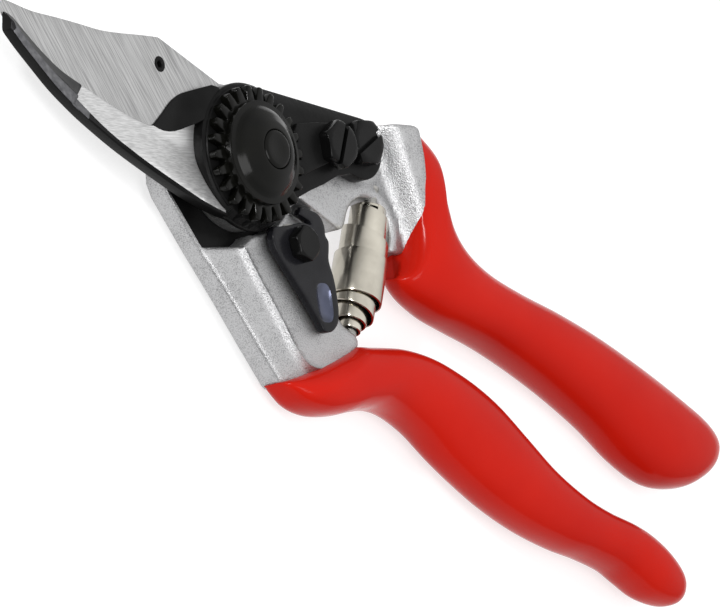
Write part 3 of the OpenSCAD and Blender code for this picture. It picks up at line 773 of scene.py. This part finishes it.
nut_black = black_steel("nut_black", (0.004, 0.004, 0.003), (0.1, 0.22))
head_flat = 5.8
head_r_bolt = 6.6
corner = math.degrees(math.acos(head_flat / head_r_bolt))
head_outline = (arc(head_r_bolt, -90 + corner, 90 - corner, steps=24)
                + arc(head_r_bolt, 90 + corner, 270 - corner, steps=24))
bolt_head = forging(head_outline, bolt_head_t, 0.0,
                    fillet=0.1, fillet_base=0.35, grain=1.5)
shank = turned([(bolt_r, bolt_head_t - 0.2), (bolt_r, z_dome + bolt_end - 0.35),
                (bolt_r - 0.3, z_dome + bolt_end - 0.05), (bolt_r - 0.7, z_dome + bolt_end),
                (bolt_r - 1.8, z_dome + bolt_end - 0.1), (0.05, z_dome + bolt_end - 0.16)])
part("pivot_bolt_turned", [bolt_head, shank], [nut_black], "upper",
     ["pivot_bolt"])

tooth_top = z_flange + 0.8
tooth_half = [(root_r, 1.22), (root_r + 0.12, 0.98), (root_r + 1.3, 0.86), (crown_r - 0.35, 0.66),
              (crown_r - 0.08, 0.46), (crown_r, 0.2)]
toothed = []
for i in range(teeth):
    for half_sign, steps in ((-1, tooth_half), (1, tooth_half[::-1])):
        for r, half in steps:
            toothed += arc(r, 360 * i / teeth + half_sign * math.degrees(half / r), 0, steps=1)[:1]
flange = forging(toothed, tooth_top, z_eye + 0.01,
                 holes=[arc(5.0, 0, 350, steps=30)], fillet=0.3, fillet_base=0.05, grain=0.7)
dome_r = root_r - 0.3
ring_r = bolt_r + 0.55
dome = turned([(bolt_r + 0.04, z_eye + 0.2), (dome_r - 0.1, z_eye + 0.2), (dome_r, z_flange + 0.15),
               (dome_r, z_flange + collar_t - 0.25), (dome_r - 0.08, z_flange + collar_t - 0.07),
               (dome_r - 0.28, z_flange + collar_t), (dome_r - 0.95, z_flange + collar_t + 0.02),
               (dome_r - 1.1, z_flange + collar_t + 0.1), (dome_r - 1.6, z_flange + collar_t + 0.75),
               (dome_r - 2.6, z_flange + collar_t + 1.45), (dome_r - 3.8, z_flange + collar_t + 2.05),
               (ring_r + 0.9, z_dome - 0.22), (ring_r + 0.1, z_dome - 0.06), (ring_r - 0.08, z_dome),
               (ring_r - 0.3, z_dome), (bolt_r + 0.05, z_dome - 0.22)], steps=96, closed=True)
part("crown_nut_turned", [flange, dome], [nut_black], "upper",
     ["crown_nut"], crease=32)

# ---------------------------------------------------------------- lock segment
# A segment stamped from blackened steel sheet lies under the first tang bolt.  Its two teeth
# stand in the crown nut's gaps and stop the nut from working loose.
segment_bolt_at = (18.5, 12.4)
segment_in_r = crown_r + 0.25


def polar(r, degrees):
    """A point at a radius and turn round the pivot."""
    return (r * math.cos(math.radians(degrees)), r * math.sin(math.radians(degrees)))


segment_outline = [(20.6, 10.8), (18.6, 9.2)] + arc(segment_in_r, 12, 19, steps=3)
for turn in (22.5, 37.5):
    segment_outline += [polar(10.7, turn - 1.9), polar(10.5, turn), polar(10.7, turn + 1.9)]
    segment_outline += arc(segment_in_r, turn + 3.0, turn + 11.6, steps=4)
segment_outline += [polar(segment_in_r + 1.6, 53), (13.2, 14.2), (17.0, 16.2), (19.6, 16.2), (21.7, 14.4),
                    (22.0, 12.0)]
segment = forging(segment_outline, z_flange, z_eye + 0.005,
                  fillet=0.16, fillet_base=0.02, grain=0.8)
part("lock_segment_stamping", [segment], [black_oxide_and_painted_shade], "upper", ["lock_segment"])

# ---------------------------------------------------------------- tang bolts and nuts
# Two slotted hexagon bolts of blackened steel hold the tang to the upper handle, and their nuts
# lie in hexagon pockets behind.  The bolts are alike, and the first one stands on the segment.
tang_bolt_at = (25.7, 17.1)
tang_head_r = 4.4
tang_head_t = 2.3
slot_w = 0.9
slot_depth = 1.0


def hexagon(r, turn, at):
    """The corners of a hexagon, softened a little."""
    corners = []
    for k in range(6):
        corners += arc(r * 0.985, turn + 60 * k - 2.2, turn + 60 * k + 2.2, at, 2)
    return corners


def slotted_bolt(at, foot, turn):
    """The head and shank of a slotted hexagon bolt, its foot at a height."""
    slot_turn = math.radians(turn + 90)
    side = np.array((-math.sin(slot_turn), math.cos(slot_turn)))
    along = np.array((math.cos(slot_turn), math.sin(slot_turn)))

    def head_top(x, y):
        across = np.abs((x - at[0]) * side[0] + (y - at[1]) * side[1])
        r = np.hypot(x - at[0], y - at[1])
        crown = foot + tang_head_t - 0.55 * np.clip(r - 3.55, 0, 2)
        return np.where(across < slot_w / 2, np.minimum(crown, foot + tang_head_t - slot_depth), crown)

    cuts = [[tuple(np.array(at) + s * side - 6 * along), tuple(np.array(at) + s * side + 6 * along)]
            for s in (-slot_w / 2 - 0.05, -slot_w / 2 + 0.001, slot_w / 2 - 0.001, slot_w / 2 + 0.05)]
    ring = arc(3.55, 0, 360, at, 40)
    head = forging(hexagon(tang_head_r, turn, at), head_top, foot + 0.01,
                   creases=cuts + [ring], fillet=0.1, grain=0.6)
    return [head, turned([(2.5, z_back + 0.2), (2.5, foot + 0.3)], at=at, steps=32)]


bolt_black = black_steel("bolt_black", (0.006, 0.006, 0.006), (0.12, 0.26))
part("segment_bolt_hex", slotted_bolt(segment_bolt_at, z_flange, 2), [bolt_black], "upper",
     ["segment_bolt"], crease=30)
part("tang_bolt_hex", slotted_bolt(tang_bolt_at, z_eye, -33), [bolt_black], "upper",
     ["tang_bolt"], crease=30)

nut_t = 2.6
nut_shells = []
for at in (segment_bolt_at, tang_bolt_at):
    def nut_foot(x, y, at=at):
        """The outer face, with its corners chamfered."""
        return z_back - 0.25 + 0.55 * np.clip(np.hypot(x - at[0], y - at[1]) - 3.3, 0, 1)

    nut_shells.append(forging(hexagon(4.0, 15, at), z_back + nut_t, nut_foot,
                              holes=[arc(2.3, 0, 348, at, 30)], fillet=0.08, grain=0.6))
    nut_shells.append(turned([(2.28, z_back + 0.15), (2.0, z_back - 0.05), (0.1, z_back - 0.08),
                              (0.1, z_back + 1.0), (2.28, z_back + 1.0)], at=at, steps=32, closed=True))
part("tang_nut_pair", nut_shells, [bolt_black], "upper", ["tang_nuts"], crease=30)

# ---------------------------------------------------------------- thumb catch
# The catch is a black plate that turns on a hexagon screw in the lower forging's pad.  The
# thumb slides it by a glossy dimple near its broad end, and a washer lies under it.
z_catch = 9.3
catch_t = 1.6
catch_at = (16.0, -9.2)
catch_edge = smooth([(8.7, -9.6), (9.1, -11.6), (10.4, -13.2), (14.0, -15.0), (20.0, -17.6), (25.0, -20.1),
                     (26.4, -20.9), (28.1, -20.1), (29.1, -18.6), (29.3, -16.9), (28.5, -14.4), (26.2, -10.5),
                     (24.0, -8.0), (23.4, -6.0), (22.9, -4.6), (21.8, -3.9), (21.3, -2.8), (20.4, -1.8),
                     (19.0, -1.2), (17.4, -1.4), (14.3, -2.4)])
catch_slot = smooth([(14.3, -3.9), (15.6, -3.7), (17.4, -3.6), (17.6, -4.1), (15.6, -4.8), (13.8, -6.1),
                     (11.4, -7.9), (8.7, -9.6)], 3)[:-1]
dimple_at = (25.0, -15.9)
dimple_turn = math.radians(-62)
dimple_half = (3.5, 2.1)
dimple_depth = 0.85


def dimple_reach(x, y):
    """0 in the middle of the dimple and 1 on its rounded edge."""
    u = (x - dimple_at[0]) * math.cos(dimple_turn) + (y - dimple_at[1]) * math.sin(dimple_turn)
    v = (y - dimple_at[1]) * math.cos(dimple_turn) - (x - dimple_at[0]) * math.sin(dimple_turn)
    return (np.abs(u / dimple_half[0]) ** 3 + np.abs(v / dimple_half[1]) ** 3) ** (1 / 3)


def catch_top(x, y):
    """Level, with the hollow of the dimple."""
    hollow = dimple_depth * np.clip(1 - dimple_reach(x, y) ** 2, 0, 1) ** 0.8
    return z_catch + catch_t - hollow


def dimple_ring(reach):
    """A closed line round the dimple at a share of its reach."""
    ring = []
    for k in range(49):
        a = 2 * math.pi * k / 48
        u = reach * dimple_half[0] * math.copysign(abs(math.cos(a)) ** (2 / 3), math.cos(a))
        v = reach * dimple_half[1] * math.copysign(abs(math.sin(a)) ** (2 / 3), math.sin(a))
        ring.append((dimple_at[0] + u * math.cos(dimple_turn) - v * math.sin(dimple_turn),
                     dimple_at[1] + u * math.sin(dimple_turn) + v * math.cos(dimple_turn)))
    return ring


catch_black = speckled("catch_black", (0.003, 0.003, 0.004), (0.012, 0.012, 0.014), metal=0.0, rough=0.2,
                       grain=2200.0, mottle=300.0, depth=0.00002, strength=0.3, level=0.14)
# The dimple's blue tint is a painted reflection; its gloss is its own.
dimple_gloss_painted_reflection = speckled("dimple_gloss_painted_reflection", (0.03, 0.034, 0.05), (0.13, 0.14, 0.2), metal=1.0, rough=0.2,
                        grain=900.0, mottle=300.0, depth=0.0, strength=0.0)

catch = forging(catch_edge + catch_slot, catch_top, z_catch,
                holes=[arc(2.56, 0, 350, catch_at, 30)], creases=[dimple_ring(1.0), dimple_ring(0.86)],
                fillet=0.28, grain=0.5)
part("thumb_catch_plate", [catch], [catch_black, dimple_gloss_painted_reflection], "catch",
     ["thumb_catch"], paint=lambda x, y, z, n: 1 if n.z > 0.3 and dimple_reach(x, y) < 0.99 else 0)

z_screw = z_catch + catch_t + 0.1
screw_head_t = 2.2
screw_head = forging(hexagon(3.3, 8, catch_at),
                     lambda x, y: z_screw + screw_head_t
                     - 0.6 * np.clip(np.hypot(x - catch_at[0], y - catch_at[1]) - 2.6, 0, 1),
                     z_screw, creases=[arc(2.6, 0, 360, catch_at, 36)],
                     fillet=0.1, grain=0.6)
screw_shank = turned([(2.5, z_back + 1.1), (2.5, z_screw + 0.3)], at=catch_at, steps=40)
part("catch_screw_hex", [screw_head, screw_shank], [bolt_black], "lower",
     ["catch_screw"], crease=30)

# ---------------------------------------------------------------- volute spring
# The spring is one nickel-plated steel strip, coiled so that its turns telescope both ways
# from a wide middle turn, with a small cap at its head.  It is threaded on a pin in each handle.
z_grip = 7.2
spring_foot = Vector((36.4, -15.1, z_grip))
spring_head = Vector((34.8, 10.1, z_grip))
strip_t = 0.42
coil_turns = [-3.3, -2.5, -1.6, -1.0, -0.5, 0.0, 0.5, 1.0, 1.5, 2.5, 3.2]
coil_radii = [1.75, 2.05, 3.05, 3.75, 4.3, 4.75, 4.95, 4.5, 4.3, 3.35, 3.0]
coil_low = [0.2, 0.9, 2.4, 3.0, 5.6, 6.2, 6.6, 9.5, 11.5, 16.0, 19.0]
coil_high = [2.6, 4.6, 8.5, 11.5, 13.8, 14.8, 15.2, 17.5, 20.6, 24.7, 25.0]
spring_axis = (spring_head - spring_foot).normalized()
spring_side = spring_axis.cross(Vector((0, 0, 1))).normalized()
spring_rise = spring_side.cross(spring_axis).normalized()
strip_verts, strip_faces = [], []
sections = 340
section_points = 8
for i in range(sections + 1):
    turn = coil_turns[0] + (coil_turns[-1] - coil_turns[0]) * i / sections
    r = float(np.interp(turn, coil_turns, coil_radii))
    low = float(np.interp(turn, coil_turns, coil_low))
    high = float(np.interp(turn, coil_turns, coil_high))
    a = 2 * math.pi * turn + 0.6
    out = math.cos(a) * spring_side + math.sin(a) * spring_rise
    h = strip_t / 2
    for dr, s in ((h, low + 0.3), (h, high - 0.3), (0.7 * h, high - 0.08), (-0.7 * h, high),
                  (-h, high - 0.3), (-h, low + 0.3), (-0.7 * h, low), (0.7 * h, low + 0.08)):
        strip_verts.append(tuple(spring_foot + s * spring_axis + (r - h + dr) * out))
    if i:
        b = i * section_points
        strip_faces += [[b - section_points + k, b - section_points + (k + 1) % section_points,
                         b + (k + 1) % section_points, b + k] for k in range(section_points)]
strip_faces.append([k for k in range(section_points)][::-1])
strip_faces.append([sections * section_points + k for k in range(section_points)])

nickel = speckled("nickel_plate", (0.3, 0.28, 0.235), (0.74, 0.7, 0.61), metal=1.0, rough=(0.14, 0.28),
                  grain=700.0, mottle=160.0, depth=0.0, strength=0.0)
cap_profile = [(3.0, 24.3), (2.95, 24.75), (2.5, 25.05), (1.6, 25.15), (1.6, 24.7), (2.6, 24.3)]
cap_sides = 48
cap_verts = []
for r, s in cap_profile:
    for k in range(cap_sides):
        a = 2 * math.pi * k / cap_sides
        out = math.cos(a) * spring_side + math.sin(a) * spring_rise
        cap_verts.append(tuple(spring_foot + s * spring_axis + r * out))
cap_rings = len(cap_profile)
cap_faces = [[i * cap_sides + k, i * cap_sides + (k + 1) % cap_sides,
              (i + 1) % cap_rings * cap_sides + (k + 1) % cap_sides, (i + 1) % cap_rings * cap_sides + k]
             for i in range(cap_rings) for k in range(cap_sides)]
spring = part("volute_spring_strip", [(strip_verts, strip_faces), (cap_verts, cap_faces)], [nickel],
              None, ["volute_spring"], crease=30)
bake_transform(spring)

# ---------------------------------------------------------------- small pins and rubber
# The spring's two pins, the blade's dowel and the catch's washer are turned steel, the pivot's
# bush is bronze, the blade's screw is black steel and the handles' stop is rubber.


def turned_metal(name, dark, light, rough, length):
    """A metal with the fine marks of a lathe tool."""
    made, tree, shader = finish(name, light, 1.0, rough)
    marks = use(tree, lines_group, Turn=0.0, Fineness=1500.0, Length=length)
    shade_between(tree, marks.outputs["Lines"], dark, light, shader.inputs["Base Color"])
    return made


pin_steel = turned_metal("pin_steel", (0.22, 0.215, 0.2), (0.4, 0.39, 0.37), 0.3, 200.0)
bush_bronze = turned_metal("bush_bronze", (0.45, 0.32, 0.15), (0.68, 0.5, 0.26), 0.35, 1200.0)
buffer_rubber = speckled("buffer_rubber", (0.012, 0.012, 0.012), (0.035, 0.035, 0.035), metal=0.0,
                         rough=0.7, grain=1200.0, mottle=300.0, depth=0.00003, strength=0.4)
for name, made in (("upper_spring_seat", pin_steel), ("lower_spring_seat", pin_steel),
                   ("blade_dowel", pin_steel), ("catch_washer", pin_steel), ("pivot_bush", bush_bronze),
                   ("blade_screw", bolt_black), ("stop_buffer", buffer_rubber)):
    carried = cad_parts[name]
    carried.data.materials.clear()
    carried.data.materials.append(made)

# ---------------------------------------------------------------- grips
# Both handles are dipped in thick glossy red vinyl.  Each grip is drawn on ribs: a point on
# its upper edge, one on its lower edge, and its half thickness as a share of the palm's.
grip_half_t = 6.9
upper_ribs = [
    (36.9, 27.4, 43.9, 0.6, 0.8), (44.5, 26.4, 46.0, -0.4, 0.9), (47.4, 21.4, 49.0, -0.9, 0.95),
    (51.0, 16.6, 52.5, -0.9, 0.97), (56.0, 13.7, 57.0, -0.6, 0.98), (63.0, 12.7, 63.0, 0.4, 0.98),
    (72.0, 13.6, 72.0, 1.8, 0.98), (82.0, 15.4, 82.0, 2.5, 1.0), (92.0, 16.8, 92.0, 2.5, 1.0),
    (102.0, 17.6, 102.0, 1.8, 1.0), (111.0, 18.0, 111.0, 0.3, 1.0), (118.5, 18.0, 119.0, 0.5, 0.98),
    (125.0, 17.8, 125.5, 3.4, 0.88), (129.3, 17.0, 129.5, 7.2, 0.68), (131.4, 15.6, 131.4, 10.6, 0.42),
    (132.0, 14.0, 132.0, 12.6, 0.12)]
lower_ribs = [
    (37.6, -17.0, 21.6, -33.3, 0.8), (39.6, -16.2, 26.4, -34.9, 0.86), (41.6, -15.1, 31.2, -34.3, 0.9),
    (44.0, -13.8, 36.0, -31.9, 0.92), (47.0, -12.3, 41.0, -28.2, 0.94), (50.5, -11.0, 46.0, -25.1, 0.94),
    (54.5, -9.9, 51.5, -23.5, 0.95), (59.0, -9.1, 58.5, -23.5, 0.96), (66.0, -8.5, 66.0, -25.0, 0.96),
    (73.0, -8.9, 73.0, -25.8, 0.96), (81.0, -10.6, 81.0, -26.1, 0.95), (90.0, -12.5, 90.0, -25.5, 0.91),
    (99.0, -13.0, 99.0, -23.9, 0.86), (106.0, -12.4, 106.0, -22.0, 0.83), (113.0, -11.0, 113.0, -20.6, 0.83),
    (118.0, -10.6, 118.0, -20.6, 0.84), (123.0, -11.0, 123.0, -20.7, 0.8), (127.5, -12.0, 127.5, -19.7, 0.64),
    (130.0, -13.3, 130.0, -18.3, 0.42), (131.0, -14.8, 131.0, -16.8, 0.12)]
grip_sides = 64
grip_steps = 10
grip_round = 0.88
lip_under = 0.3
mouth_fade = 6.0
neck_row = 3 * grip_steps


def dipped_grip(ribs, head_half, head_mid, lip_run, mouth, square, skew, forged_top):
    """A grip's skin.  At the head it swells from the forging's own section, head_half thick
    either side of head_mid, over lip_run of its length.  The mouth is set back by mouth, square
    flattens its upper and lower ends, skew bends them, and its front starts just under the
    forging's top."""
    rows = np.array(smooth(ribs, grip_steps))
    along = rows[neck_row, 0:2] + rows[neck_row, 2:4] - rows[0, 0:2] - rows[0, 2:4]
    along /= np.linalg.norm(along)
    verts, faces = [], []
    run = 0.0
    last_mid = None
    for row in rows:
        upper_edge, lower_edge = row[0:2], row[2:4]
        mid = (upper_edge + lower_edge) / 2
        run += 0 if last_mid is None else float(np.linalg.norm(mid - last_mid))
        last_mid = mid
        swell = math.sqrt(1 - (1 - min(run / lip_run, 1)) ** 2)
        half = head_half + (grip_half_t * row[4] - head_half) * swell
        centre = head_mid + (z_grip - head_mid) * swell
        for k in range(grip_sides):
            a = 2 * math.pi * (k + 0.5) / grip_sides
            c, s = math.cos(a), math.sin(a)
            bend = grip_round - square[c < 0] * math.exp(-run / mouth_fade)
            reach = math.copysign(abs(c) ** bend, c)
            p = mid + (upper_edge - mid) * reach
            p = p + mouth * (1 - abs(reach) ** skew[c < 0]) * math.exp(-run / (3 * mouth)) * along
            z = centre + half * math.copysign(abs(s) ** bend, s)
            if s > 0 and swell < 1:
                full = z_grip + grip_half_t * row[4] * s**bend
                under = float(forged_top(p[:1], p[1:])[0]) - lip_under
                start = head_mid + (min(under, full) - head_mid) * min(1.0, 2 * s) ** bend
                z = start + (full - start) * swell
            verts.append((p[0], p[1], z))
    for i in range(len(rows) - 1):
        for k in range(grip_sides):
            a, b = i * grip_sides + k, i * grip_sides + (k + 1) % grip_sides
            faces.append([a, b, b + grip_sides, a + grip_sides])
    faces.append(list(range(grip_sides))[::-1])
    faces.append([(len(rows) - 1) * grip_sides + k for k in range(grip_sides)])
    return verts, faces


red_vinyl = speckled("red_vinyl", (0.35, 0.006, 0.003), (0.46, 0.012, 0.005), metal=0.0,
                     rough=(0.12, 0.22), grain=420.0, mottle=55.0, depth=0.00004, strength=0.12,
                     level=0.07)
upper_skin = dipped_grip(upper_ribs, head_half=4.0, head_mid=6.4, lip_run=4.5, mouth=3.1,
                         square=(0.55, 0.0), skew=(1.2, 5.0), forged_top=upper_top)
lower_skin = dipped_grip(lower_ribs, head_half=2.6, head_mid=5.2, lip_run=4.5, mouth=1.2,
                         square=(0.1, 0.5), skew=(2.0, 2.0), forged_top=lower_top)
part("upper_grip_dip", [upper_skin], [red_vinyl], "upper", ["upper_grip"])
part("lower_grip_dip", [lower_skin], [red_vinyl], "lower", ["lower_grip"])
